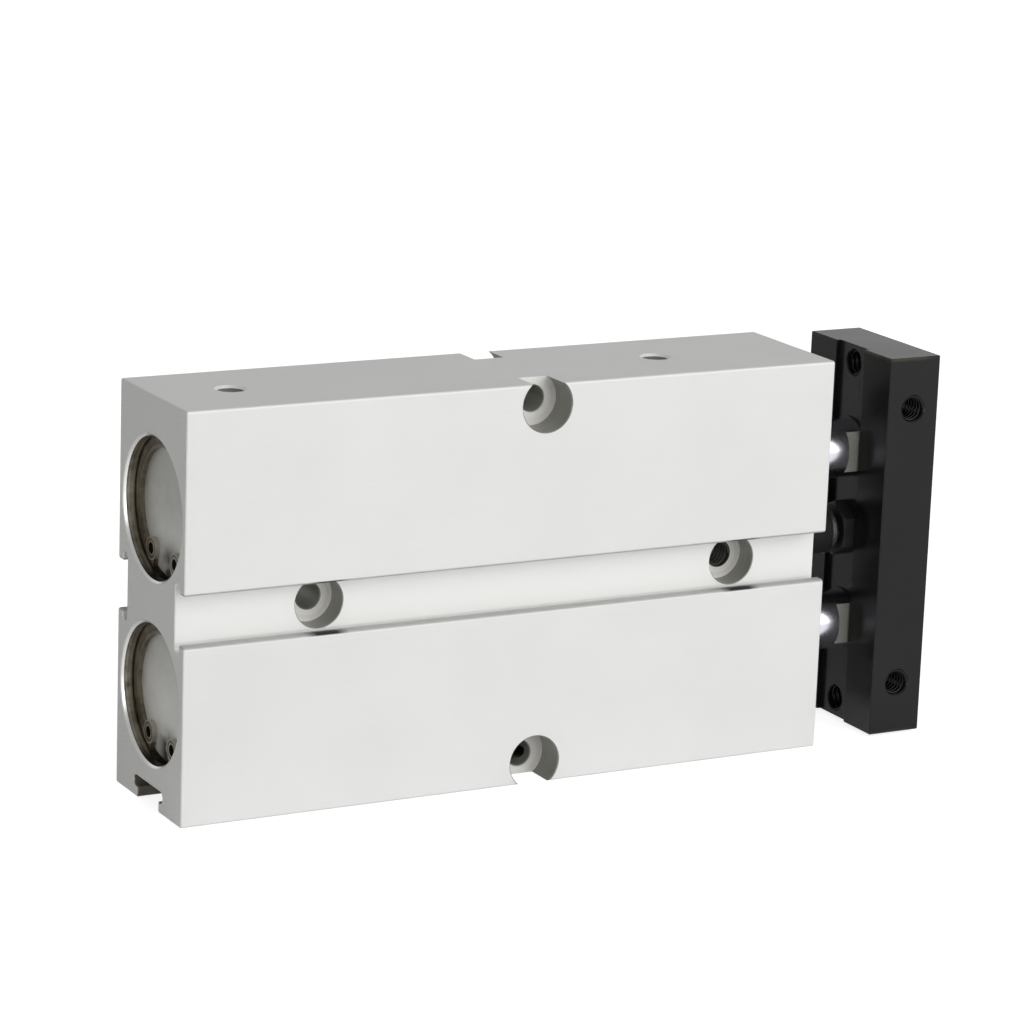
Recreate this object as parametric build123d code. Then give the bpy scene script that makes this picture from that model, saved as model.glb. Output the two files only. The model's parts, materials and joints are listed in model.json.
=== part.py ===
from build123d import *
import math
import os

os.makedirs("parts", exist_ok=True)

# Twin rod pneumatic cylinder at rest, with both rods drawn in. Sizes are in millimetres.
# The origin is the centre of the body's rear end face. +X is the way the rods extend,
# +Z goes from the lower bore to the upper one, and the wide faces look along -Y and +Y.

# Bores, rods and travel
stroke = 50.0
bore_radius = 10.0
bore_web = 9.0
rod_radius = 5.0

# Walls of the extruded body
side_wall = 1.5
end_wall = 6.5
body_edge_round = 0.4
end_edge_break = 0.15

# Bore mouths, the same at both ends
mouth_step = 1.0
mouth_chamfer = 0.45
ring_groove_start = 1.8
ring_groove_depth = 0.5
ring_thickness = 0.8
cover_depth = 2.8

# Undercut slots along the body: one in each wide face and one in the bottom
slot_mouth = 7.8
slot_lip = 1.7
slot_undercut = 10.8
slot_undercut_height = 1.7
slot_lip_round = 0.5

# Mounting holes through the thickness
mount_hole_radius = 2.1
mount_edge_break = 0.15
channel_bore_radius = 4.0
channel_bore_depth = 4.0
rear_hole_inset = 23.7
front_hole_inset = 15.5
edge_bore_radius = 4.25
edge_bore_depth = 5.3
edge_hole_inset = 3.4

# Air ports and the passages between the bores
port_radius = 2.1
port_chamfer = 0.4
passage_radius = 1.5
port_inset = 1.8

# Rear covers
rear_cover_length = 7.2
rear_cover_wall = 4.0
rear_cover_pocket_depth = 2.0
cover_edge_break = 0.3

# Static seal rings
o_ring_section = 1.8
o_ring_groove_width = 2.3

# Front covers with their bushes and rod seals
nose_air_gap = 2.4
nose_length = 4.7
barrel_length = 15.0
flange_length = 5.2
bush_wall = 1.2
bush_length = 14.0
bush_inset = 1.5
seal_width = 2.8
seal_pocket_depth = 4.4
seal_recess = 0.4
seal_lip_thickness = 0.9
seal_lip_length = 2.0

# Piston packs
rear_space = 5.0
piston_length = 11.0
piston_slack = 0.2
tail_radius = 3.0
tail_reach = 3.8
nut_flats = 10.0
nut_thickness = 3.2
nut_pocket_clearance = 0.43
wear_ring_inset = 2.1
wear_ring_width = 3.0
wear_ring_thickness = 1.5
wear_ring_split = 0.8
piston_seal_inset = 6.4
piston_seal_width = 3.0
piston_seal_height = 2.3
piston_seal_waist = 0.8
piston_seal_land = 0.75
magnet_carrier_length = 6.0
magnet_length = 3.5
magnet_cover_wall = 1.2
magnet_wall = 3.1
rear_cushion_rim = 1.2
rear_cushion_width = 1.9
rear_cushion_seat = 0.9
rear_cushion_proud = 1.1
front_cushion_length = 2.0
front_cushion_width = 2.4
end_clearance = 0.3

# Outer ends of the rods
flats_across = 7.5
flats_length = 3.2
rod_tap_depth = 14.0
rod_edge_break = 0.3

# End plate
plate_gap = 11.0
plate_thickness = 9.5
plate_margin = 0.5
plate_edge_break = 0.15
plate_groove_width = 8.4
plate_groove_depth = 0.8
plate_tap_radius = 2.1
plate_tap_chamfer = 0.2
face_tap_pitch = 57.0
side_tap_pitch = 46.0
screw_radius = 3.0
screw_clearance = 0.3
screw_head_radius = 6.0
screw_head_rim = 0.3
screw_engagement = 10.0
screw_socket = 4.0
screw_socket_depth = 2.2

# Stop screw and bumper between the rods
stop_rise = 0.9
stop_radius = 2.5
stop_recess = 1.0
stop_socket = 2.5
stop_socket_depth = 3.0
stop_head_radius = 4.0
stop_head_thickness = 0.7
lock_nut_thickness = 2.7
lock_nut_flats = 8.0
bumper_radius = 3.9
bumper_length = 6.9
bumper_stud_radius = 1.5
bumper_stud_length = 2.5
bumper_gap = 0.2

# Named fits
close_gap = 0.03
running_gap = 0.03
rod_hole_gap = 0.12
piston_gap = 0.05
thread_gap = 0.03

# Retaining rings
ring_width_far = 2.4
ring_width_near = 1.9
ring_ear_radius = 1.75
ring_ear_hole_radius = 0.9
ring_ear_reach = 2.6
ring_ear_angle = 30.0
ring_gap_angle = 19.0
ring_turn = 3.0

# Places across the body that follow from the sizes above
bore_pitch = 2 * bore_radius + bore_web
mouth_radius = bore_radius + mouth_step
groove_radius = mouth_radius + ring_groove_depth
body_thickness = 2 * (mouth_radius + side_wall)
body_height = bore_pitch + 2 * (mouth_radius + end_wall)
half_thickness = body_thickness / 2
half_height = body_height / 2
slot_depth = slot_lip + slot_undercut_height
channel_floor = half_thickness - slot_depth
edge_hole_z = half_height - edge_hole_inset
ring_outer_radius = groove_radius - close_gap
rear_cover_pocket_radius = mouth_radius - rear_cover_wall
nose_radius = bore_radius - nose_air_gap
seal_pocket_radius = rod_radius + seal_width
front_cushion_radius = rod_radius + front_cushion_width
piston_radius = bore_radius - piston_slack
nut_pocket_radius = nut_flats / math.sqrt(3) + nut_pocket_clearance
magnet_outer_radius = piston_radius - magnet_cover_wall
magnet_inner_radius = magnet_outer_radius - magnet_wall
rear_cushion_outer_radius = piston_radius - rear_cushion_rim
rear_cushion_inner_radius = rear_cushion_outer_radius - rear_cushion_width

# Places along the body, from the rear end face forwards
rear_seat = cover_depth + rear_cover_length
piston_start = rear_seat + rear_space
carrier_start = piston_start + piston_length
rod_shoulder = carrier_start + magnet_carrier_length
pack_end = rod_shoulder + front_cushion_length
nose_face = pack_end + stroke + end_clearance
barrel_start = nose_face + nose_length
front_seat = barrel_start + barrel_length
front_cover_face = front_seat + flange_length
body_length = front_cover_face + cover_depth
rear_port_x = rear_seat + rear_space / 2
front_port_x = nose_face + port_inset
rear_hole_x = rear_hole_inset
front_hole_x = body_length - front_hole_inset
edge_hole_x = (rear_hole_x + front_hole_x) / 2

# Places on the end plate and along the stop
plate_inner = body_length + plate_gap
plate_outer = plate_inner + plate_thickness
plate_floor = plate_inner + plate_groove_depth
plate_width = body_thickness - 2 * plate_margin
plate_height = body_height - 2 * plate_margin
plate_middle = (plate_inner + plate_outer) / 2
lock_nut_start = plate_floor - lock_nut_thickness
bumper_start = body_length + bumper_gap
bumper_end = bumper_start + bumper_length
stop_head_end = bumper_end + stop_head_thickness

# Seal rings, and the heights of the two bores
o_ring_radius = o_ring_section / 2
bore_heights = {"upper": bore_pitch / 2, "lower": -bore_pitch / 2}


def bar(radius, start, end, z=0.0):
    """Round bar along X from start to end."""
    return extrude(Plane((start, 0, z), (0, 1, 0), (1, 0, 0)) * Circle(radius), end - start)


def hexagon(flats, start, end, z=0.0):
    """Six-sided bar along X with two of its flats facing sideways, given its width across them."""
    outline = Rot(0, 0, 30) * RegularPolygon(flats / 2, 6, major_radius=False)
    return extrude(Plane((start, 0, z), (0, 1, 0), (1, 0, 0)) * outline, end - start)


def turned(points, z=0.0, turn=360.0):
    """Solid turned about an axis along X, from a half outline of places and radii."""
    return Pos(0, 0, z) * revolve(make_face(Polyline(*points, close=True)), Axis.X, turn)


def turned_across(points, x, z):
    """Solid turned about an axis along Y, from a half outline of radii and depths."""
    return Pos(x, 0, z) * revolve(make_face(Polyline(*points, close=True)), Axis.Y)


def torus(place, middle_radius, section_radius, z):
    """Round seal ring about an axis along X."""
    section = Pos(place, middle_radius) * Circle(section_radius)
    return Pos(0, 0, z) * revolve(section, Axis.X)


def save(shape, node):
    """Write one named piece."""
    export_step(shape, f"parts/{node}.step")


def slot_section():
    """Section of an undercut slot: the mouth is at the bottom and the floor at slot_depth."""
    mouth = Pos(0, slot_lip / 2) * Rectangle(slot_mouth, 2 * slot_lip)
    undercut = Pos(0, slot_lip + slot_undercut_height / 2) * SlotOverall(slot_undercut, slot_undercut_height)
    return mouth + undercut


def body_section():
    """Section of the extrusion across its length, with its three slots and rounded edges."""
    outline = Rectangle(body_thickness, body_height)
    outline = fillet(outline.vertices(), body_edge_round)
    slots = [
        Pos(-half_thickness, 0) * Rot(0, 0, -90) * slot_section(),
        Pos(half_thickness, 0) * Rot(0, 0, 90) * slot_section(),
        Pos(0, -half_height) * slot_section(),
    ]
    section = outline
    for slot in slots:
        section -= slot
    side_lips = [(side * half_thickness, edge * slot_mouth / 2) for side in (-1, 1) for edge in (-1, 1)]
    bottom_lips = [(edge * slot_mouth / 2, -half_height) for edge in (-1, 1)]
    lips = [section.vertices().sort_by_distance((y, z, 0))[0] for y, z in side_lips + bottom_lips]
    return fillet(lips, slot_lip_round)


def bore_mouth(end_face, inwards):
    """Half outline of a bore's mouth: chamfer, ring groove and wall, from the end face inwards."""
    return [
        (end_face, 0),
        (end_face, mouth_radius + mouth_chamfer),
        (end_face + inwards * mouth_chamfer, mouth_radius),
        (end_face + inwards * ring_groove_start, mouth_radius),
        (end_face + inwards * ring_groove_start, groove_radius),
        (end_face + inwards * cover_depth, groove_radius),
        (end_face + inwards * cover_depth, mouth_radius),
    ]


def bore_cut(z):
    """Everything turned out of the body about one bore's axis."""
    rear = bore_mouth(0, 1) + [(rear_seat, mouth_radius), (rear_seat, bore_radius)]
    front = bore_mouth(body_length, -1) + [(front_seat, mouth_radius), (front_seat, bore_radius)]
    return turned(rear + front[::-1], z)


def mounting_cut(x, z, face, seat_bore_radius, seat_bore_depth):
    """Through hole with a counterbore from both wide sides, face being where the counterbore starts."""
    seat = face - seat_bore_depth
    hole_rim = mount_hole_radius + mount_edge_break
    bore_rim = seat_bore_radius + mount_edge_break
    half = [
        (mount_hole_radius, seat - mount_edge_break),
        (hole_rim, seat),
        (seat_bore_radius, seat),
        (seat_bore_radius, face - mount_edge_break),
        (bore_rim, face),
        (bore_rim, face + slot_undercut_height),
    ]
    other_half = [(radius, -depth) for radius, depth in half[::-1]]
    return turned_across([(0, half[-1][1])] + half[::-1] + other_half[::-1] + [(0, -half[-1][1])], x, z)


def port_cut(x):
    """Port from the top face into the upper bore, and the passage on to the lower bore."""
    points = [
        (0, half_height),
        (port_radius + port_chamfer, half_height),
        (port_radius, half_height - port_chamfer),
        (port_radius, bore_pitch / 2),
        (passage_radius, bore_pitch / 2),
        (passage_radius, -bore_pitch / 2),
        (0, -bore_pitch / 2),
    ]
    outline = Plane.XZ * make_face(Polyline(*points, close=True))
    return Pos(x, 0, 0) * revolve(outline, Axis.Z)


def cylinder_body():
    """Extruded body with both bores, its mounting holes and its air ports."""
    blank = extrude(Plane.YZ * body_section(), body_length)
    end_edges = blank.faces().filter_by(Axis.X).edges()
    body = chamfer(end_edges, end_edge_break)
    for z in bore_heights.values():
        body -= bore_cut(z)
    for x in (rear_hole_x, front_hole_x):
        body -= mounting_cut(x, 0, channel_floor, channel_bore_radius, channel_bore_depth)
    for z in (edge_hole_z, -edge_hole_z):
        body -= mounting_cut(edge_hole_x, z, half_thickness, edge_bore_radius, edge_bore_depth)
    for x in (rear_port_x, front_port_x):
        body -= port_cut(x)
    return body


def groove_for_o_ring(place, wall_radius):
    """Ring cut out of a cover for a seal ring that meets the wall of the given radius."""
    floor_radius = wall_radius - o_ring_section - 2 * close_gap
    half_width = o_ring_groove_width / 2
    outside = wall_radius + mouth_step
    return turned([
        (place - half_width, floor_radius),
        (place - half_width, outside),
        (place + half_width, outside),
        (place + half_width, floor_radius),
    ])


def o_ring(place, wall_radius, z):
    """Seal ring between a cover's groove and the wall of the given radius."""
    return torus(place, wall_radius - close_gap - o_ring_radius, o_ring_radius, z)


def rear_cover(z):
    """Disc that closes the rear of a bore, with a pocket for the rod's tail inside."""
    radius = mouth_radius - close_gap
    cover = turned([
        (cover_depth, 0),
        (cover_depth, radius - cover_edge_break),
        (cover_depth + cover_edge_break, radius),
        (rear_seat, radius),
        (rear_seat, rear_cover_pocket_radius),
        (rear_seat - rear_cover_pocket_depth, rear_cover_pocket_radius),
        (rear_seat - rear_cover_pocket_depth, 0),
    ])
    cover -= groove_for_o_ring((cover_depth + rear_seat) / 2, mouth_radius)
    return Pos(0, 0, z) * cover


def front_cover(z):
    """Gland that closes the front of a bore and guides its rod."""
    radius = mouth_radius - close_gap
    barrel_radius = bore_radius - close_gap
    bush_radius = rod_radius + running_gap + bush_wall + close_gap
    rod_hole_radius = rod_radius + rod_hole_gap
    bush_start = nose_face + bush_inset
    bush_end = bush_start + bush_length
    seal_floor = front_cover_face - seal_pocket_depth
    cover = turned([
        (nose_face, bush_radius),
        (nose_face, nose_radius),
        (barrel_start, nose_radius),
        (barrel_start, barrel_radius),
        (front_seat, barrel_radius),
        (front_seat, radius),
        (front_cover_face - cover_edge_break, radius),
        (front_cover_face, radius - cover_edge_break),
        (front_cover_face, seal_pocket_radius),
        (seal_floor, seal_pocket_radius),
        (seal_floor, rod_hole_radius),
        (bush_end, rod_hole_radius),
        (bush_end, bush_radius),
    ])
    cover -= groove_for_o_ring((barrel_start + front_seat) / 2, bore_radius)
    return Pos(0, 0, z) * cover


def guide_bush(z):
    """Plain bearing that the rod runs in."""
    inner = rod_radius + running_gap
    start = nose_face + bush_inset
    end = start + bush_length
    return turned([(start, inner), (start, inner + bush_wall), (end, inner + bush_wall), (end, inner)], z)


def rod_seal(z):
    """Lip seal in the front cover: one lip holds the air in and one wipes the rod."""
    inner = rod_radius + running_gap
    outer = seal_pocket_radius - close_gap
    floor = front_cover_face - seal_pocket_depth
    face = front_cover_face - seal_recess
    heel = floor + seal_lip_length
    return turned([
        (floor, inner),
        (floor, inner + seal_lip_thickness),
        (heel, (inner + outer) / 2),
        (floor, outer - seal_lip_thickness),
        (floor, outer),
        (face - seal_lip_thickness, outer),
        (face - seal_lip_thickness, inner + seal_lip_thickness),
        (face, inner + seal_lip_thickness / 2),
        (face, inner),
        (heel, inner + seal_lip_thickness / 2),
    ], z)


def retaining_ring(start, z):
    """Spring ring for a bore, wider opposite its gap, with an ear and a plier hole on each side."""
    inner_radius = ring_outer_radius - (ring_width_far + ring_width_near) / 2
    shift = (ring_width_far - ring_width_near) / 2
    ear_middle = ring_outer_radius - ring_ear_reach
    section = Circle(ring_outer_radius) - Pos(0, -shift) * Circle(inner_radius)
    gap_reach = 2 * ring_outer_radius
    gap_side = gap_reach * math.tan(math.radians(ring_gap_angle))
    section -= make_face(Polyline((0, 0), (gap_side, -gap_reach), (-gap_side, -gap_reach), close=True))
    for side in (-1, 1):
        angle = math.radians(side * ring_ear_angle - 90)
        centre = Pos(ear_middle * math.cos(angle), ear_middle * math.sin(angle))
        section += centre * Circle(ring_ear_radius)
    for side in (-1, 1):
        angle = math.radians(side * ring_ear_angle - 90)
        centre = Pos(ear_middle * math.cos(angle), ear_middle * math.sin(angle))
        section -= centre * Circle(ring_ear_hole_radius)
    place = Plane((start, 0, z), (0, 1, 0), (1, 0, 0))
    return extrude(place * (Rot(0, 0, ring_turn) * section), ring_thickness)


def piston_rod(z):
    """Rod with a threaded tail, flats that sit in the plate's groove and a tapped hole for its screw."""
    tail_end = piston_start - tail_reach
    rod = turned([
        (tail_end, 0),
        (tail_end, tail_radius - rod_edge_break),
        (tail_end + rod_edge_break, tail_radius),
        (rod_shoulder, tail_radius),
        (rod_shoulder, rod_radius),
        (plate_floor - rod_edge_break, rod_radius),
        (plate_floor, rod_radius - rod_edge_break),
        (plate_floor, screw_radius + thread_gap),
        (plate_floor - rod_tap_depth, screw_radius + thread_gap),
        (plate_floor - rod_tap_depth, 0),
    ])
    flats_middle = Pos(plate_floor - flats_length / 2, 0, 0)
    milled_away = Box(flats_length, body_thickness, body_thickness)
    milled_away -= Box(flats_length, flats_across, body_thickness)
    return Pos(0, 0, z) * (rod - flats_middle * milled_away)


def piston(z):
    """Piston with grooves for its seal and wear ring, and pockets for its nut and cushion."""
    hole = tail_radius + thread_gap
    pocket_depth = nut_thickness + close_gap
    wear_start = piston_start + wear_ring_inset
    wear_floor = bore_radius - piston_gap - wear_ring_thickness - close_gap
    seal_start = piston_start + piston_seal_inset
    seal_floor = bore_radius - piston_gap - piston_seal_height - close_gap
    return turned([
        (piston_start, nut_pocket_radius),
        (piston_start, rear_cushion_inner_radius - close_gap),
        (piston_start + rear_cushion_seat, rear_cushion_inner_radius - close_gap),
        (piston_start + rear_cushion_seat, rear_cushion_outer_radius + close_gap),
        (piston_start, rear_cushion_outer_radius + close_gap),
        (piston_start, piston_radius),
        (wear_start - close_gap, piston_radius),
        (wear_start - close_gap, wear_floor),
        (wear_start + wear_ring_width + close_gap, wear_floor),
        (wear_start + wear_ring_width + close_gap, piston_radius),
        (seal_start - close_gap, piston_radius),
        (seal_start - close_gap, seal_floor),
        (seal_start + piston_seal_width + close_gap, seal_floor),
        (seal_start + piston_seal_width + close_gap, piston_radius),
        (carrier_start, piston_radius),
        (carrier_start, hole),
        (piston_start + pocket_depth, hole),
        (piston_start + pocket_depth, nut_pocket_radius),
    ], z)


def wear_ring(z):
    """Split band that keeps the piston off the bore's wall."""
    start = piston_start + wear_ring_inset
    outer = bore_radius - piston_gap
    inner = outer - wear_ring_thickness
    end = start + wear_ring_width
    split = math.degrees(wear_ring_split / outer)
    return turned([(start, inner), (start, outer), (end, outer), (end, inner)], z, 360.0 - split)


def piston_seal(z):
    """Double lip seal of the piston, with a waist between its lips."""
    start = piston_start + piston_seal_inset
    end = start + piston_seal_width
    outer = bore_radius - piston_gap
    inner = outer - piston_seal_height
    waist = outer - piston_seal_waist
    return turned([
        (start, inner),
        (start, outer),
        (start + piston_seal_land, outer),
        ((start + end) / 2, waist),
        (end - piston_seal_land, outer),
        (end, outer),
        (end, inner),
    ], z)


def piston_nut(z):
    """Nut that clamps the piston pack against the rod's shoulder."""
    nut = hexagon(nut_flats, piston_start + close_gap, piston_start + nut_thickness)
    nut -= bar(tail_radius + thread_gap, piston_start, carrier_start)
    return Pos(0, 0, z) * nut


def magnet_carrier(z):
    """Ring in front of the piston with a pocket that holds the sensing magnet."""
    hole = tail_radius + thread_gap
    pocket_end = carrier_start + magnet_length + close_gap
    return turned([
        (carrier_start, hole),
        (carrier_start, magnet_inner_radius - close_gap),
        (pocket_end, magnet_inner_radius - close_gap),
        (pocket_end, magnet_outer_radius + close_gap),
        (carrier_start, magnet_outer_radius + close_gap),
        (carrier_start, piston_radius),
        (rod_shoulder, piston_radius),
        (rod_shoulder, hole),
    ], z)


def magnet(z):
    """Ring magnet that a position sensor reads through the body."""
    end = carrier_start + magnet_length
    start = carrier_start + close_gap
    return turned([
        (start, magnet_inner_radius),
        (start, magnet_outer_radius),
        (end, magnet_outer_radius),
        (end, magnet_inner_radius),
    ], z)


def rear_cushion(z):
    """Soft ring set in the piston's rear face."""
    start = piston_start - rear_cushion_proud
    end = piston_start + rear_cushion_seat - close_gap
    return turned([
        (start, rear_cushion_inner_radius),
        (start, rear_cushion_outer_radius),
        (end, rear_cushion_outer_radius),
        (end, rear_cushion_inner_radius),
    ], z)


def front_cushion(z):
    """Soft washer around the rod that meets the front cover at full stroke."""
    inner = rod_radius + close_gap
    start = rod_shoulder + close_gap
    outer = front_cushion_radius
    return turned([(start, inner), (start, outer), (pack_end, outer), (pack_end, inner)], z)


def end_plate():
    """Plate across both rods, with a groove that takes their flats and tapped holes all round."""
    centre = Pos(plate_middle, 0, 0)
    plate = centre * Box(plate_thickness, plate_width, plate_height)
    plate = chamfer(plate.edges(), plate_edge_break)
    groove_middle = (plate_inner + plate_floor) / 2
    plate -= Pos(groove_middle, 0, 0) * Box(plate_groove_depth, plate_groove_width, body_height)
    shank_hole = screw_radius + screw_clearance
    head_hole = screw_head_radius + close_gap
    rim_floor = plate_outer - screw_head_rim
    cone_floor = rim_floor - (head_hole - shank_hole)
    for z in bore_heights.values():
        plate -= turned([
            (plate_inner, 0),
            (plate_inner, shank_hole),
            (cone_floor, shank_hole),
            (rim_floor, head_hole),
            (plate_outer, head_hole),
            (plate_outer, 0),
        ], z)
    plate -= bar(stop_radius + thread_gap, plate_inner, plate_outer, stop_rise)
    rim = plate_tap_radius + plate_tap_chamfer
    for side in (-1, 1):
        plate -= turned([
            (plate_floor, 0),
            (plate_floor, rim),
            (plate_floor + plate_tap_chamfer, plate_tap_radius),
            (plate_outer - plate_tap_chamfer, plate_tap_radius),
            (plate_outer, rim),
            (plate_outer, 0),
        ], side * face_tap_pitch / 2)
        half_width = plate_width / 2
        plate -= turned_across([
            (0, -half_width),
            (rim, -half_width),
            (plate_tap_radius, plate_tap_chamfer - half_width),
            (plate_tap_radius, half_width - plate_tap_chamfer),
            (rim, half_width),
            (0, half_width),
        ], plate_middle, side * side_tap_pitch / 2)
    return plate


def rod_screws():
    """The two countersunk screws that hold the plate to the rods."""
    head_floor = plate_outer - screw_head_rim
    shank_start = plate_floor - screw_engagement
    cone_floor = head_floor - (screw_head_radius - screw_radius)
    screws = []
    for z in bore_heights.values():
        screw = turned([
            (shank_start, 0),
            (shank_start, screw_radius - rod_edge_break),
            (shank_start + rod_edge_break, screw_radius),
            (cone_floor, screw_radius),
            (head_floor, screw_head_radius),
            (plate_outer, screw_head_radius),
            (plate_outer, 0),
        ], z)
        screws.append(screw - hexagon(screw_socket, plate_outer - screw_socket_depth, plate_outer, z))
    return Compound(children=screws)


def stop_screw():
    """Screw between the rods whose head carries the bumper, set from outside the plate."""
    outer_end = plate_outer - stop_recess
    screw = turned([
        (bumper_end - bumper_stud_length, 0),
        (bumper_end - bumper_stud_length, bumper_stud_radius),
        (bumper_end, bumper_stud_radius),
        (bumper_end, stop_head_radius),
        (stop_head_end, stop_head_radius),
        (stop_head_end, stop_radius),
        (outer_end - rod_edge_break, stop_radius),
        (outer_end, stop_radius - rod_edge_break),
        (outer_end, 0),
    ], stop_rise)
    return screw - hexagon(stop_socket, outer_end - stop_socket_depth, outer_end, stop_rise)


def stop_lock_nut():
    """Nut in the plate's groove that locks the stop screw."""
    nut = hexagon(lock_nut_flats, lock_nut_start, plate_floor)
    corner = lock_nut_flats / math.sqrt(3)
    crown = turned([
        (lock_nut_start, 0),
        (lock_nut_start, lock_nut_flats / 2),
        (lock_nut_start + corner - lock_nut_flats / 2, corner),
        (plate_floor, corner),
        (plate_floor, 0),
    ])
    return Pos(0, 0, stop_rise) * ((nut & crown) - bar(stop_radius + thread_gap, lock_nut_start, plate_floor))


def bumper_pad():
    """Soft pad on the stop screw's head that meets the body when the rods are drawn in."""
    stud = bumper_stud_radius + close_gap
    stud_end = bumper_end - bumper_stud_length - close_gap
    return turned([
        (bumper_start, 0),
        (bumper_start, bumper_radius - rod_edge_break),
        (bumper_start + rod_edge_break, bumper_radius),
        (bumper_end, bumper_radius),
        (bumper_end, stud),
        (stud_end, stud),
        (stud_end, 0),
    ], stop_rise)


save(cylinder_body(), "cylinder_body")
for level, z in bore_heights.items():
    save(rear_cover(z), f"rear_cover_{level}")
    save(o_ring((cover_depth + rear_seat) / 2, mouth_radius, z), f"rear_cover_o_ring_{level}")
    save(retaining_ring(cover_depth - ring_thickness, z), f"rear_circlip_{level}")
    save(front_cover(z), f"front_cover_{level}")
    save(o_ring((barrel_start + front_seat) / 2, bore_radius, z), f"front_cover_o_ring_{level}")
    save(retaining_ring(front_cover_face, z), f"front_circlip_{level}")
    save(guide_bush(z), f"guide_bush_{level}")
    save(rod_seal(z), f"rod_seal_{level}")
    save(piston_rod(z), f"piston_rod_{level}")
    save(piston(z), f"piston_{level}")
    save(wear_ring(z), f"wear_ring_{level}")
    save(piston_seal(z), f"piston_seal_{level}")
    save(piston_nut(z), f"piston_nut_{level}")
    save(magnet_carrier(z), f"magnet_carrier_{level}")
    save(magnet(z), f"magnet_{level}")
    save(rear_cushion(z), f"rear_cushion_{level}")
    save(front_cushion(z), f"front_cushion_{level}")
save(end_plate(), "end_plate")
save(rod_screws(), "rod_screws")
save(stop_screw(), "stop_screw")
save(stop_lock_nut(), "stop_lock_nut")
save(bumper_pad(), "bumper_pad")
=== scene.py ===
import json
import math

import bpy
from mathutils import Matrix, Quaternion, Vector


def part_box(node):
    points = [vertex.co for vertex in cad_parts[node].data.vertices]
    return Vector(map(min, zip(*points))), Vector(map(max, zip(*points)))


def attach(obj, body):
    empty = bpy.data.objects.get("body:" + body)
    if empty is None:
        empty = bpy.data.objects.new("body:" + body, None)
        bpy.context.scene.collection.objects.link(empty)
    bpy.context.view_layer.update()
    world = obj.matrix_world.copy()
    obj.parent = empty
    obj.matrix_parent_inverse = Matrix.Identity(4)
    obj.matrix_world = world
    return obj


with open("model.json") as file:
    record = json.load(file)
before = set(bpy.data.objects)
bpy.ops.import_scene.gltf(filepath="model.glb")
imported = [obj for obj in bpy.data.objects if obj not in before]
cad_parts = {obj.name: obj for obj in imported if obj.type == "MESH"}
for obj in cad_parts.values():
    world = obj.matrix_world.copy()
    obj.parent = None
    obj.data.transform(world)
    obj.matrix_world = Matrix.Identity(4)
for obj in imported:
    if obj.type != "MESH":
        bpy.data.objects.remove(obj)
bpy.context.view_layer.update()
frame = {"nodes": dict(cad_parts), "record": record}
nodes = frame["nodes"]
MM = 0.001

# Sizes of the solids that the finishes and threads follow, in millimetres: body
body_length = 112.0
half_thickness = 12.5
half_height = 32.0

# Bores and their mouths
bore_height = 14.5
mouth_radius = 11.0
mouth_rim_radius = 11.45
mouth_depth = 2.8
groove_radius = 11.5

# Channel, its holes, and the painted shade where the counterbores bite into its lips
channel_floor = 9.1
channel_bore_radius = 4.0
channel_seat = 5.1
channel_hole_places = (23.7, 96.5)
tapped_from = 80.0
ledge_height = 3.9
lip_edge = 0.3
bite_half_length = 2.7
bite_start = 11.2

# Edge holes, ports and bottom slot
edge_bore_radius = 4.25
edge_hole_x = 60.1
edge_hole_height = 28.6
edge_seat = 7.2
hole_radius = 2.1
rim_break = 0.15
port_places = (12.5, 86.1)
port_chamfer = 0.4
port_bottom = 24.8
bottom_slot_half_width = 5.45
bottom_slot_roof = 28.55

# Plate
plate_inner = 123.0
plate_floor = 123.8
plate_outer = 132.5
plate_middle = 127.75
plate_half_width = 12.0
groove_half_width = 4.2
plate_half_height = 31.5
worn_edge = -0.4
face_tap_height = 28.5
side_tap_height = 23.0

# Rods' flats and stop
flats_start = 120.6
flats_half_width = 3.75
stop_rise = 0.9
stop_radius = 2.5
stop_head_end = 119.8
lock_nut_start = 121.1
stop_thread_inset = 0.15

# Ears of the rear retaining rings, from their bore's axis
ear_reach = 8.87
ear_radius = 1.75
ear_hole_radius = 0.9
ear_angles = (-57.0, -117.0)

# Middle of the painted shade under the ears, and how far past a face its mask reaches
ear_shade_side = 0.5
margin = 0.1
seat_margin = 0.06


class Wire:
    """One output of a node, on which arithmetic adds Math nodes."""

    def __init__(self, tree, out):
        self.tree = tree
        self.out = out

    def math(self, operation, *others):
        node = self.tree.nodes.new("ShaderNodeMath")
        node.operation = operation
        for place, value in enumerate((self,) + others):
            join(self.tree, value, node.inputs[place])
        return Wire(self.tree, node.outputs[0])

    def __add__(self, other):
        return self.math("ADD", other)

    __radd__ = __add__

    def __mul__(self, other):
        return self.math("MULTIPLY", other)

    __rmul__ = __mul__

    def __sub__(self, other):
        return self.math("SUBTRACT", other)

    def __rsub__(self, other):
        return self.math("MULTIPLY", -1.0) + other

    def __abs__(self):
        return self.math("ABSOLUTE")

    def least(self, other):
        return self.math("MINIMUM", other)

    def most(self, other):
        return self.math("MAXIMUM", other)

    def far(self, other):
        """Length of the hypotenuse over this value and another."""
        return (self * self + other * other).math("SQRT")

    def ramp(self, low, high, low_out=0.0, high_out=1.0):
        """Straight change from one output to another as this value goes from low to high."""
        node = self.tree.nodes.new("ShaderNodeMapRange")
        for place, value in enumerate((self, low, high, low_out, high_out)):
            join(self.tree, value, node.inputs[place])
        return Wire(self.tree, node.outputs[0])

    def below(self, limit, soft=0.02):
        """1 where this value is under the limit, and 0 over it."""
        return self.ramp(limit - soft, limit + soft, 1.0, 0.0)

    def above(self, limit, soft=0.02):
        return self.ramp(limit - soft, limit + soft)


def join(tree, value, socket):
    """Links a wire to a socket, or sets a plain value on it."""
    if isinstance(value, Wire):
        tree.links.new(value.out, socket)
    else:
        socket.default_value = value


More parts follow.
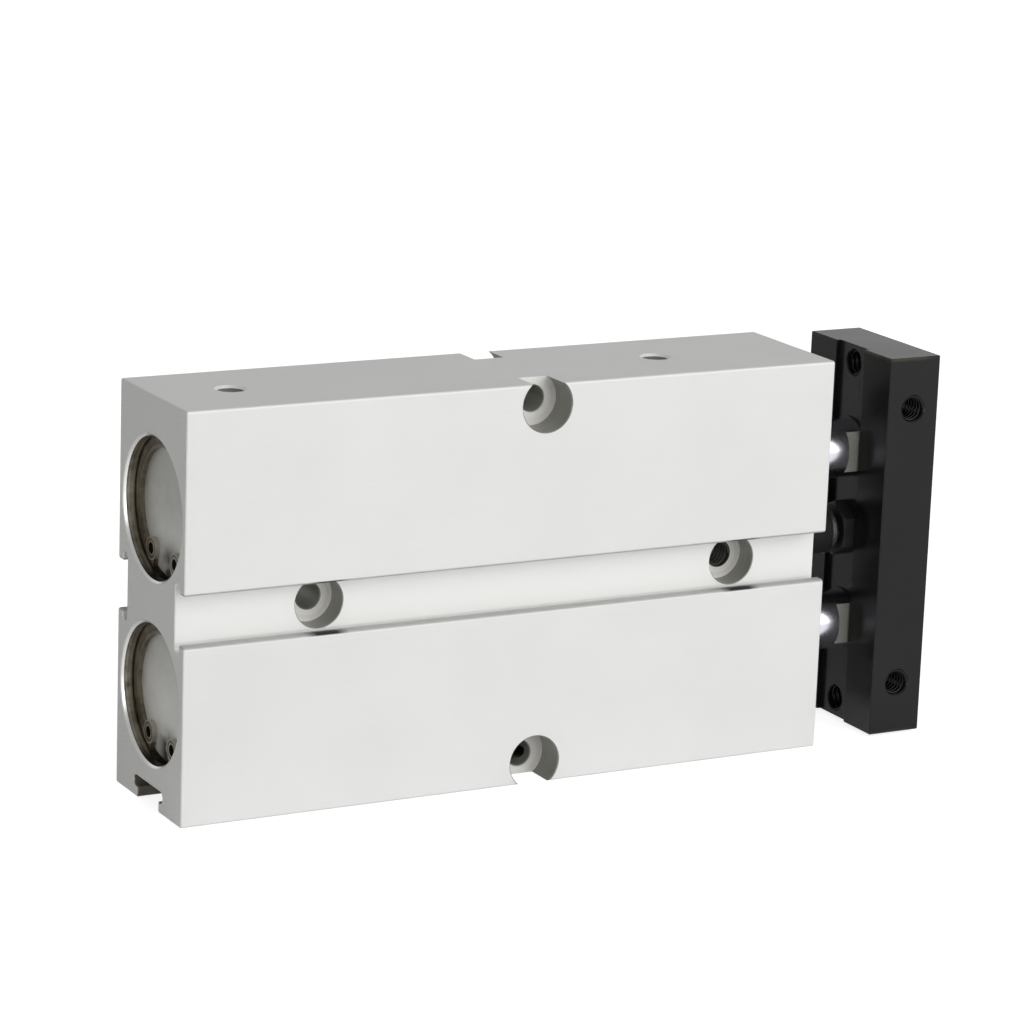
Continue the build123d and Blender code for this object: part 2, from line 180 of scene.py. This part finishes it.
class Nodes:
    """Adds nodes to one shader tree."""

    def __init__(self, tree):
        self.tree = tree

    def node(self, kind, settings=None, sockets=None, output=0):
        """Adds a node: its settings come first, then the values or wires of its sockets."""
        made = self.tree.nodes.new("ShaderNode" + kind)
        for name, value in (settings or {}).items():
            setattr(made, name, value)
        for name, value in (sockets or {}).items():
            join(self.tree, value, made.inputs[name])
        return Wire(self.tree, made.outputs[output])

    def split(self, vector):
        parts = self.node("SeparateXYZ", sockets={0: vector})
        return [Wire(self.tree, parts.out.node.outputs[place]) for place in range(3)]

    def vector(self, *parts):
        return self.node("CombineXYZ", sockets=dict(enumerate(parts)))

    def mix(self, factor, colour_a, colour_b):
        """Mix of two colours by a factor."""
        made = self.node("Mix", {"data_type": "RGBA"}).out.node
        for place, value in ((0, factor), (6, colour_a), (7, colour_b)):
            join(self.tree, value, made.inputs[place])
        return Wire(self.tree, made.outputs[2])

    def noise(self, vector, scale=1.0, detail=2.0, roughness=0.5):
        sockets = {"Vector": vector, "Scale": scale, "Detail": detail, "Roughness": roughness}
        return self.node("TexNoise", sockets=sockets, output="Fac")


class Shader(Nodes):
    """Node tree of one finish, built around its Principled shader."""

    def __init__(self, name):
        self.material = bpy.data.materials.new(name)
        self.material.use_nodes = True
        super().__init__(self.material.node_tree)
        self.surface = self.tree.nodes["Principled BSDF"]
        place = self.node("TexCoord", output="Object")
        self.place = self.node("VectorMath", {"operation": "SCALE"}, {0: place, "Scale": 1 / MM})
        self.x, self.y, self.z = self.split(self.place)

    def set(self, **values):
        """Sets or links sockets of the Principled shader; an underscore stands for a space."""
        for name, value in values.items():
            join(self.tree, value, self.surface.inputs[name.replace("_", " ")])

    def bump(self, height, distance):
        """Bump of a height that goes from 0 to 1, as deep as the distance in millimetres."""
        return self.node("Bump", sockets={"Height": height, "Distance": distance * MM}, output="Normal")

    def from_bore(self):
        """Distance from the nearer bore's axis."""
        return self.y.far(abs(self.z) - bore_height)

    def rise(self):
        """Height over the nearer bore's axis."""
        return (abs(self.z) - bore_height) * (self.z.above(0.0, 0.001) * 2.0 - 1.0)

    def from_ears(self):
        """Distance from the nearer ear of the retaining ring."""
        left, right = (
            (self.y - ear_reach * math.cos(angle)).far(self.rise() - ear_reach * math.sin(angle))
            for angle in map(math.radians, ear_angles)
        )
        return left.least(right)


def warm(level, cast=0.0):
    """Grey of a level, with its blue taken down by the cast."""
    return (level, level, level * (1.0 - cast), 1.0)


def anodised_aluminium():
    """Clear anodised extrusion with lines drawn along X, milled ends and bare turned holes; shade is
    painted in its holes, ports, bottom slot and lip notches and under the ring ears, and light on its
    channel floor and counterbore seats.
    """
    # Painted shade: hole and port walls are painted dark grey, and the deep tapped hole near black.
    hole_shade_dark, hole_shade_pale = (0.2, 0.2, 0.18, 1), (0.46, 0.46, 0.42, 1)
    seat_dark, seat_pale = (0.84, 0.82, 0.78, 1), (0.99, 0.98, 0.95, 1)
    plain_hole_shade, tapped_hole_shade = (0.5, 0.5, 0.46, 1), (0.1, 0.1, 0.09, 1)
    slot_dark, slot_pale = (0.1, 0.09, 0.07, 1), (0.34, 0.31, 0.26, 1)
    mouth_wall_dark, mouth_wall_pale = (0.11, 0.1, 0.075, 1), (0.6, 0.56, 0.47, 1)
    port_wall_shade = (0.3, 0.3, 0.27, 1)
    ear_shade_colour = (0.05, 0.045, 0.035, 1)
    shader = Shader("anodised_body")
    x, y, z = shader.x, shader.y, shader.z
    drawn = shader.noise(shader.vector(x * 0.06, y * 7.0, z * 7.0), 1.0, 2.0, 0.6)
    cloud = shader.noise(shader.place, 0.06, 2.0)
    grain = shader.noise(shader.place, 2.6, 3.0, 0.6)
    from_end = x.least(body_length - x)
    milled = from_end.below(0.02, 0.01)

    bore = shader.from_bore()
    rim_depth = mouth_rim_radius - mouth_radius
    rim = bore.below(mouth_rim_radius - 0.15, 0.05) * from_end.below(rim_depth)
    wall = bore.below(groove_radius + margin) * from_end.below(mouth_depth + 0.3)
    wall = wall * from_end.above(rim_depth)
    channel = abs(abs(y) - channel_floor).below(margin) * abs(z).below(ledge_height + margin)

    along = abs(x - channel_hole_places[0]).least(abs(x - channel_hole_places[1]))
    channel_hole = along.far(z)
    edge_hole = (x - edge_hole_x).far(abs(z) - edge_hole_height)
    port = abs(x - port_places[0]).least(abs(x - port_places[1])).far(y)
    hole = channel_hole.least(edge_hole)
    in_channel = channel_hole.below(channel_bore_radius + rim_break) * abs(y).below(channel_floor - 0.03)
    in_edge = edge_hole.below(edge_bore_radius + rim_break) * abs(z).below(half_height - 0.02, 0.01)
    in_port = port.below(hole_radius + port_chamfer) * z.above(bore_height)
    in_hole = in_channel.most(in_edge).most(in_port)
    deep = in_channel.most(in_edge) * hole.below(hole_radius + margin)
    port_rim = in_port * z.above(half_height - port_chamfer)
    channel_seats = in_channel * abs(abs(y) - channel_seat).below(seat_margin)
    edge_seats = in_edge * abs(abs(y) - edge_seat).below(seat_margin)
    seat = channel_seats.most(edge_seats) * (1.0 - deep)
    lip = abs(abs(z) - ledge_height).below(lip_edge, 0.1) * abs(y).above(channel_floor + 0.3, 0.3)
    bite_shade = lip * along.below(bite_half_length, 1.0) * abs(y).above(bite_start, 0.3)
    in_slot = abs(y).below(bottom_slot_half_width) * (-1.0 * z).above(bottom_slot_roof, 0.05)
    in_slot = in_slot * (1.0 - milled) * z.above(-half_height, 0.02)

    # Painted shade: the bore wall at the bottom, under and between the ring's ears, is painted near
    # black.
    ear_shade = abs(y + ear_shade_side).below(4.0, 1.5) * shader.rise().below(-8.6, 1.0)
    rings = shader.noise(shader.vector(from_end * 3.1, bore * 3.1, 0.0), 1.0, 3.0, 0.7)
    stain = shader.noise(shader.place, 0.45, 3.0, 0.6)
    cutter = shader.noise(shader.vector(y * 4.0, hole * 4.0, 0.0), 1.0, 3.0, 0.7)
    cut = cutter.ramp(0.3, 0.7)

    skin = shader.mix((drawn * 0.3 + cloud * 0.7).ramp(0.35, 0.65), warm(0.84, 0.015), warm(0.87, 0.012))
    skin = shader.mix(milled * grain.ramp(0.3, 0.7, 0.2, 1.0), skin, warm(0.74, 0.05))
    # Painted light: the channel floor is painted paler, against the shade of its lips.
    skin = shader.mix(channel, skin, warm(0.94, 0.02))
    # The lip faces at the channel's mouth are painted a darker grey; where the counterbores bite into
    # the lips they are painted near black as shade.
    skin = shader.mix(lip, skin, warm(0.52, 0.03))
    skin = shader.mix(bite_shade, skin, warm(0.03, 0.1))
    # Painted shade: the inside of the bottom slot is painted dark brown.
    skin = shader.mix(in_slot, skin, shader.mix(stain, slot_dark, slot_pale))
    # Painted shade inside the holes and ports.
    skin = shader.mix(in_hole, skin, shader.mix(cut, hole_shade_dark, hole_shade_pale))
    # Painted light: the counterbore seats are painted paler than the faces, against the shade of their
    # recess.
    skin = shader.mix(seat, skin, shader.mix(cut, seat_dark, seat_pale))
    skin = shader.mix(deep, skin, shader.mix(x.above(tapped_from), plain_hole_shade, tapped_hole_shade))
    skin = shader.mix(in_port, skin, port_wall_shade)
    # The bore mouths' walls are painted dark brown, paler in rings.
    brown = shader.mix((rings * 0.6 + stain * 0.4).ramp(0.35, 0.65), mouth_wall_dark, mouth_wall_pale)
    skin = shader.mix(wall, skin, brown)
    skin = shader.mix(wall * ear_shade, skin, ear_shade_colour)
    skin = shader.mix(rim.most(port_rim), skin, warm(0.95, 0.02))
    bare = (in_hole * 0.2).most(wall).most(rim) * (1.0 - seat) + lip * -0.7
    plain = (1.0 - bare) * (1.0 - milled)
    shader.set(
        Base_Color=skin,
        Metallic=bare.most(0.0).ramp(0.0, 1.0, 0.15, 0.9) + bare.least(0.0) * 0.15,
        Specular_IOR_Level=0.3,
        Roughness=(drawn.ramp(0.3, 0.7, 0.39, 0.43) + milled * 0.05) * (1.0 - bare) + bare * 0.28,
        Normal=shader.bump(drawn * plain * 0.4 + grain * milled * 0.8 + cutter * in_hole, 0.003),
    )
    return shader.material


def cover_aluminium():
    """Turned covers, with rings about each bore's axis, painted shade towards the top of each and under
    and between the ring ears, and the lower cover painted paler than the upper.
    """
    shader = Shader("cover_metal")
    bore = shader.from_bore()
    rings = shader.noise(shader.vector(bore * 6.0, shader.x * 6.0, 0.0), 1.0, 3.0, 0.7)
    cloud = shader.noise(shader.place, 0.3, 3.0)
    # Painted shade: the cover is painted near black through the ear holes and at its bottom between the
    # ears.
    under_ear = shader.from_ears().below(ear_hole_radius + 0.3, 0.3)
    ear_shade = abs(shader.y + ear_shade_side).below(2.8, 2.0) * shader.rise().below(-5.0, 2.0)
    ear_shade = (ear_shade * bore.above(6.0, 2.2) * cloud.ramp(0.2, 0.5)).most(under_ear)
    # Painted shade and light: each cover is darker towards its top, and the lower cover is paler than
    # the upper one.
    shade = rings * 0.3 + cloud * 0.3 + shader.rise().ramp(-9.0, 9.0, 0.5, -0.05)
    shade = shade + shader.z.ramp(-bore_height, bore_height, 0.08, -0.18)
    tone_and_shade = shader.mix(shade.ramp(0.25, 0.75), warm(0.5, 0.05), warm(0.8, 0.05))
    shader.set(
        Base_Color=shader.mix(ear_shade, tone_and_shade, (0.03, 0.027, 0.02, 1)),
        Metallic=0.5 * (1.0 - ear_shade),
        Roughness=rings.ramp(0.3, 0.7, 0.34, 0.44) + ear_shade * 0.3,
        Normal=shader.bump(rings, 0.004),
    )
    return shader.material


def black_anodised():
    """Black plate: satin, a little paler and duller where it was milled at its groove."""
    shader = Shader("black_plate")
    x, y, z = shader.x, shader.y, shader.z
    grain = shader.noise(shader.place, 2.5, 3.0, 0.6)
    cloud = shader.noise(shader.place, 0.09, 3.0)
    milled = shader.noise(shader.vector(x * 0.5, y * 6.0, z * 0.05), 1.0, 2.0)
    in_groove = abs(y).below(groove_half_width) * abs(x - plate_floor).below(0.05)
    shade = shader.mix(cloud, warm(0.007), warm(0.012))
    shade = shader.mix(in_groove * milled.ramp(0.3, 0.7, 0.5, 1.0), shade, warm(0.03, 0.05))
    half_plate = (plate_outer - plate_inner) / 2
    at_side = (abs(y) - plate_half_width).most(abs(x - plate_middle) - half_plate)
    at_top = abs(z) - plate_half_height
    worn = at_side.most(at_top).above(-0.15, 0.1) * at_side.least(at_top).above(worn_edge, 0.25)
    shade = shader.mix(worn * cloud.ramp(0.4, 0.6), shade, (0.07, 0.06, 0.045, 1))
    shader.set(
        Base_Color=shade,
        Roughness=(grain * 0.5 + cloud * 0.5).ramp(0.3, 0.7, 0.18, 0.26),
        Specular_IOR_Level=0.25,
        Normal=shader.bump(grain, 0.003),
    )
    return shader.material


def hard_chrome():
    """Ground and chromed rod, with duller milled flats at its end."""
    shader = Shader("rod_chrome")
    ground = shader.noise(shader.vector(shader.x * 9.0, shader.y * 0.4, shader.z * 0.4), 1.0, 2.0)
    flat = shader.x.above(flats_start) * abs(abs(shader.y) - flats_half_width).below(0.03)
    milled = shader.noise(shader.vector(shader.x * 1.5, shader.y, shader.z * 7.0), 1.0, 2.0)
    dull = shader.mix(milled, warm(0.34, 0.12), warm(0.5, 0.12))
    shader.set(
        Base_Color=shader.mix(flat, (0.78, 0.78, 0.85, 1), dull),
        Metallic=flat.ramp(0.0, 1.0, 1.0, 0.35),
        Roughness=ground.ramp(0.3, 0.7, 0.14, 0.2) + flat * 0.35,
        Normal=shader.bump(ground * (1.0 - flat) * 0.3 + milled * flat, 0.003),
    )
    return shader.material


def ring_steel():
    """Dark spring steel, browned on its faces, with painted highlights along the edges of its ears and
    painted shade in their holes.
    """
    brown_dark, brown_pale = (0.07, 0.06, 0.045, 1), (0.26, 0.23, 0.17, 1)
    ear_brown, edge_highlight = (0.14, 0.12, 0.09, 1), (0.5, 0.47, 0.4, 1)
    shader = Shader("spring_steel")
    ears = shader.from_ears()
    # Painted highlight along the outer edge of each ear and round its hole.
    outer_edge = abs(ears - ear_radius).below(0.12, 0.06)
    inner_edge = abs(ears - ear_hole_radius - 0.12).below(0.06, 0.04)
    # Painted shade: the walls of the ear holes are painted near black.
    hole = ears.below(ear_hole_radius + 0.03)
    rings = shader.noise(shader.vector(shader.from_bore() * 2.2, shader.x * 2.2, 0.0), 1.0, 3.0, 0.6)
    stain = shader.noise(shader.place, 0.7, 3.0, 0.6)
    brown = shader.mix((rings * 0.5 + stain * 0.5).ramp(0.35, 0.65), brown_dark, brown_pale)
    steel = shader.mix(ears.below(ear_radius), brown, ear_brown)
    steel = shader.mix(outer_edge.most(inner_edge), steel, edge_highlight)
    shader.set(
        Base_Color=shader.mix(hole, steel, warm(0.012)),
        Metallic=0.85 * (1.0 - hole),
        Roughness=stain.ramp(0.3, 0.7, 0.3, 0.5),
        Normal=shader.bump(stain, 0.01),
    )
    return shader.material


def stop_steel():
    """Steel screws: bright in the plate's outer face, dull on the stop's head and black on its shank."""
    shader = Shader("screw_steel")
    grain = shader.noise(shader.place, 4.0, 3.0)
    from_axis = shader.y.far(shader.z - stop_rise)
    black = from_axis.below(stop_radius + 0.4) * shader.x.above(stop_head_end)
    bright = shader.mix(grain, warm(0.5, 0.02), warm(0.66, 0.02))
    head = shader.x.below(lock_nut_start, 0.1)
    bright = shader.mix(head, bright, shader.mix(grain, warm(0.18, 0.08), warm(0.28, 0.08)))
    shader.set(
        Base_Color=shader.mix(black, bright, warm(0.02)),
        Metallic=black.ramp(0.0, 1.0, 0.95, 0.3),
        Roughness=grain.ramp(0.3, 0.7, 0.25, 0.36),
        Normal=shader.bump(grain, 0.004),
    )
    return shader.material


def plain_finish(name, colour, roughness, metallic=1.0):
    """Turned or moulded finish for a small piece: fine rings about its own bore, and a light mottle."""
    shader = Shader(name)
    rings = shader.noise(shader.vector(shader.from_bore() * 5.0, shader.x * 5.0, 0.0), 1.0, 3.0, 0.6)
    mottle = shader.noise(shader.place, 1.2, 3.0, 0.6)
    darker = tuple(part * 0.82 for part in colour) + (1.0,)
    lighter = tuple(min(part * 1.14, 0.95) for part in colour) + (1.0,)
    shader.set(
        Base_Color=shader.mix((rings * 0.5 + mottle * 0.5).ramp(0.35, 0.65), darker, lighter),
        Metallic=metallic,
        Roughness=mottle.ramp(0.3, 0.7, roughness - 0.05, roughness + 0.07),
        Normal=shader.bump(rings, 0.004),
    )
    return shader.material


def rubber(name, level):
    """Moulded rubber: dull, with a fine uneven grain."""
    shader = Shader(name)
    grain = shader.noise(shader.place, 3.0, 4.0, 0.65)
    shader.set(
        Base_Color=shader.mix(grain.ramp(0.3, 0.7), warm(level * 0.8), warm(level * 1.3, 0.05)),
        Roughness=grain.ramp(0.3, 0.7, 0.5, 0.72),
        Specular_IOR_Level=0.25,
        Normal=shader.bump(grain, 0.01),
    )
    return shader.material


finishes = {
    "anodised_body": anodised_aluminium(),
    "cover_metal": cover_aluminium(),
    "piston_metal": plain_finish("piston_metal", (0.7, 0.7, 0.68), 0.3),
    "spring_steel": ring_steel(),
    "rod_chrome": hard_chrome(),
    "bush_bronze": plain_finish("bush_bronze", (0.5, 0.34, 0.18), 0.35),
    "seal_rubber": rubber("seal_rubber", 0.03),
    "wear_plastic": plain_finish("wear_plastic", (0.35, 0.28, 0.2), 0.5, 0.0),
    "nut_steel": plain_finish("nut_steel", (0.56, 0.56, 0.54), 0.34),
    "magnet_black": plain_finish("magnet_black", (0.05, 0.05, 0.05), 0.5, 0.2),
    "cushion_rubber": rubber("cushion_rubber", 0.08),
    "black_plate": black_anodised(),
    "screw_steel": stop_steel(),
    "nut_black": plain_finish("nut_black", (0.009, 0.009, 0.009), 0.5, 0.0),
    "bumper_rubber": rubber("bumper_rubber", 0.011),
}
slot_of = {row["node"]: row["material_slot"] for row in frame["record"]["subparts"]}
for name, obj in nodes.items():
    obj.data.materials.clear()
    obj.data.materials.append(finishes[slot_of[name]])


def thread_tree():
    """Tree that winds a three-sided ridge about Z from each point, then turns it to its hole's axis."""
    tree = bpy.data.node_groups.new("screw_thread", "GeometryNodeTree")
    tree.interface.new_socket("Geometry", in_out="OUTPUT", socket_type="NodeSocketGeometry")
    tree.interface.new_socket("Geometry", in_out="INPUT", socket_type="NodeSocketGeometry")
    for name, kind in (
        ("Radius", "NodeSocketFloat"),
        ("Ridge", "NodeSocketFloat"),
        ("Pitch", "NodeSocketFloat"),
        ("Length", "NodeSocketFloat"),
        ("Steps", "NodeSocketInt"),
        ("Apex Turn", "NodeSocketVector"),
        ("Axis Turn", "NodeSocketVector"),
        ("Material", "NodeSocketMaterial"),
    ):
        tree.interface.new_socket(name, in_out="INPUT", socket_type=kind)

    def add(kind, settings=None, **sockets):
        made = tree.nodes.new(kind)
        for name, value in (settings or {}).items():
            setattr(made, name, value)
        for name, value in sockets.items():
            socket = made.inputs[name.replace("_", " ")]
            if isinstance(value, bpy.types.NodeSocket):
                tree.links.new(value, socket)
            else:
                socket.default_value = value
        return made.outputs[0] if made.outputs else made

    given = tree.nodes.new("NodeGroupInput").outputs
    turns = tree.nodes.new("ShaderNodeMath")
    turns.operation = "DIVIDE"
    tree.links.new(given["Length"], turns.inputs[0])
    tree.links.new(given["Pitch"], turns.inputs[1])
    helix = add(
        "GeometryNodeCurveSpiral",
        Resolution=given["Steps"],
        Rotations=turns.outputs[0],
        Start_Radius=given["Radius"],
        End_Radius=given["Radius"],
        Height=given["Length"],
    )
    upright = add("GeometryNodeSetCurveNormal", {"mode": "Z_UP"}, Curve=helix)
    ridge = add("GeometryNodeCurvePrimitiveCircle", Resolution=3, Radius=given["Ridge"])
    ridge = add("GeometryNodeTransform", Geometry=ridge, Rotation=given["Apex Turn"])
    wound = add("GeometryNodeCurveToMesh", Curve=upright, Profile_Curve=ridge, Fill_Caps=True)
    turn = add("FunctionNodeEulerToRotation", Euler=given["Axis Turn"])
    placed = add("GeometryNodeInstanceOnPoints", Points=given["Geometry"], Instance=wound, Rotation=turn)
    whole = add("GeometryNodeRealizeInstances", Geometry=placed)
    finished = add("GeometryNodeSetMaterial", Geometry=whole, Material=given["Material"])
    output = tree.nodes.new("NodeGroupOutput")
    tree.links.new(finished, output.inputs[0])
    return tree


def link(name, data):
    obj = bpy.data.objects.new(name, data)
    bpy.context.scene.collection.objects.link(obj)
    return obj


def threads(name, body, slot, starts, axis, length, radius, inward=True):
    """Threads of one size, each from its start along the same axis; all of them are one piece."""
    seeds = bpy.data.meshes.new(name + "_starts")
    seeds.from_pydata([Vector(start) * MM for start in starts], [], [])
    carrier = link(name + "_carrier", seeds)
    modifier = carrier.modifiers.new("thread", "NODES")
    modifier.node_group = screw_thread
    sunk = ridge_size / 2 - ridge_hold
    values = {
        "Radius": (radius - sunk if inward else radius + sunk) * MM,
        "Ridge": ridge_size * MM,
        "Pitch": thread_pitch * MM,
        "Length": length * MM,
        "Steps": thread_steps,
        "Apex Turn": (0.0, 0.0, math.pi if inward else 0.0),
        "Axis Turn": Vector((0, 0, 1)).rotation_difference(Vector(axis)).to_euler(),
        "Material": finishes[slot],
    }
    for item in screw_thread.interface.items_tree:
        if item.in_out == "INPUT" and item.name in values:
            modifier[item.identifier] = values[item.name]
    evaluated = carrier.evaluated_get(bpy.context.evaluated_depsgraph_get())
    mesh = bpy.data.meshes.new_from_object(evaluated)
    mesh.name = name
    bpy.data.objects.remove(carrier)
    piece = link(name, mesh)
    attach(piece, body)
    return piece


thread_pitch = 0.8
thread_steps = 36
ridge_size = 0.28
ridge_hold = 0.03
lead_in = 0.3
screw_thread = thread_tree()
barrel, carriage = "barrel", "carriage"
both = (-1, 1)
port_length = half_height - port_chamfer - port_bottom
threads("port_threads", barrel, "anodised_body", [(x, 0, port_bottom) for x in port_places], (0, 0, 1),
        port_length, hole_radius)
threads("mounting_threads", barrel, "anodised_body",
        [(channel_hole_places[1], lead_in - channel_seat, 0)], (0, 1, 0),
        2 * (channel_seat - lead_in), hole_radius)
threads("plate_face_threads", carriage, "black_plate",
        [(plate_floor + lead_in, 0, side * face_tap_height) for side in both], (1, 0, 0),
        plate_outer - plate_floor - 2 * lead_in, hole_radius)
threads("plate_side_threads", carriage, "black_plate",
        [(plate_middle, lead_in - plate_half_width, side * side_tap_height) for side in both], (0, 1, 0),
        2 * (plate_half_width - lead_in), hole_radius)
threads("stop_thread", carriage, "screw_steel", [(stop_head_end + stop_thread_inset, 0, stop_rise)],
        (1, 0, 0), lock_nut_start - stop_head_end - 2 * stop_thread_inset, stop_radius, inward=False)

# Camera at the photograph's viewing angle, with the picture's own perspective
camera_place = Vector((-228.82, -531.965, 159.36)) * MM
camera_aim = Vector((65.97, 8.555, 6.3)) * MM
camera_roll = math.radians(2.091)
sensor_width = 36.0
focal_length = 139.78
camera = link("camera", bpy.data.cameras.new("camera"))
camera.data.sensor_width = sensor_width
camera.data.lens = focal_length
camera.data.clip_start = 0.01
camera.data.clip_end = 10.0
camera.location = camera_place
camera.rotation_mode = "QUATERNION"
level_turn = (camera_aim - camera_place).to_track_quat("-Z", "Y")
camera.rotation_quaternion = level_turn @ Quaternion((0, 0, 1), camera_roll)
bpy.context.scene.camera = camera
bpy.context.scene.view_settings.view_transform = "Standard"


def seen_ray(nodes_of):
    """1 on rays from the camera, and on those that pass on through a clear piece."""
    direct = nodes_of.node("LightPath", output="Is Camera Ray")
    return direct + nodes_of.node("LightPath", output="Is Transmission Ray")


def studio_floor():
    """White floor: it glows to the camera and to mirrors, except in the close shadow under the body."""
    reach = 3.0
    shade_inset = 7.0
    floor_gap = 0.05
    floor_grey = 0.62
    glow = 0.85
    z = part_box("cylinder_body")[0].z - floor_gap * MM
    mesh = bpy.data.meshes.new("floor")
    corners = [(-reach, -reach, z), (reach, -reach, z), (reach, reach, z), (-reach, reach, z)]
    mesh.from_pydata(corners, [], [(0, 1, 2, 3)])
    obj = link("floor", mesh)
    shader = Shader("floor_white")
    beside = (abs(shader.x - body_length / 2) - body_length / 2 + shade_inset).most(0.0)
    outside = beside.far((abs(shader.y) - half_thickness + shade_inset).most(0.0))
    seen = seen_ray(shader)
    mirrored = shader.node("LightPath", output="Is Glossy Ray")
    sheen = shader.y.ramp(-30.0, 30.0, 0.65, 0.24)
    level = (seen * glow + mirrored * sheen) * outside.ramp(0.0, 2.0)
    shader.set(
        Base_Color=warm(floor_grey),
        Roughness=0.9,
        Emission_Color=shader.mix(level, warm(0.0), warm(1.0)),
        Emission_Strength=1.0,
    )
    mesh.materials.append(shader.material)


def lamp(name, place, aim, size, power):
    """Square softbox turned to its aim: metres and watts."""
    light = bpy.data.lights.new(name, "AREA")
    light.size = size
    light.energy = power
    obj = link(name, light)
    obj.location = place
    obj.rotation_mode = "QUATERNION"
    obj.rotation_quaternion = (Vector(aim) - Vector(place)).to_track_quat("-Z", "Y")


studio_floor()
middle = Vector((body_length / 2, 0, 0)) * MM
lamp("front_softbox", (0.75, -1.5, 0.64), middle, 2.2, 30.2)
lamp("left_softbox", (-1.3, -0.75, 0.15), middle, 0.5, 3.7)
lamp("top_softbox", (0.6, -0.33, 1.25), middle, 0.9, 0.3)

# World: white to the camera, brighter behind the object than in front of it to reflections
world = bpy.data.worlds.new("studio")
bpy.context.scene.world = world
world.use_nodes = True
studio = Nodes(world.node_tree)
_, behind, upward = studio.split(studio.node("TexCoord", output="Generated"))
backdrop = behind.ramp(0.2, 0.6) * upward.ramp(0.32, 0.5, 1.0, 0.0)
mirrored_level = 0.4
backdrop_rise = 0.3
diffuse_level = 0.22
is_glossy = studio.node("LightPath", output="Is Glossy Ray")
seen = seen_ray(studio)
lit = is_glossy * (mirrored_level + backdrop * backdrop_rise) + (1.0 - is_glossy) * diffuse_level
strength = seen + (1.0 - seen) * lit
background = world.node_tree.nodes["Background"]
background.inputs["Color"].default_value = (1, 1, 1, 1)
join(world.node_tree, strength, background.inputs["Strength"])
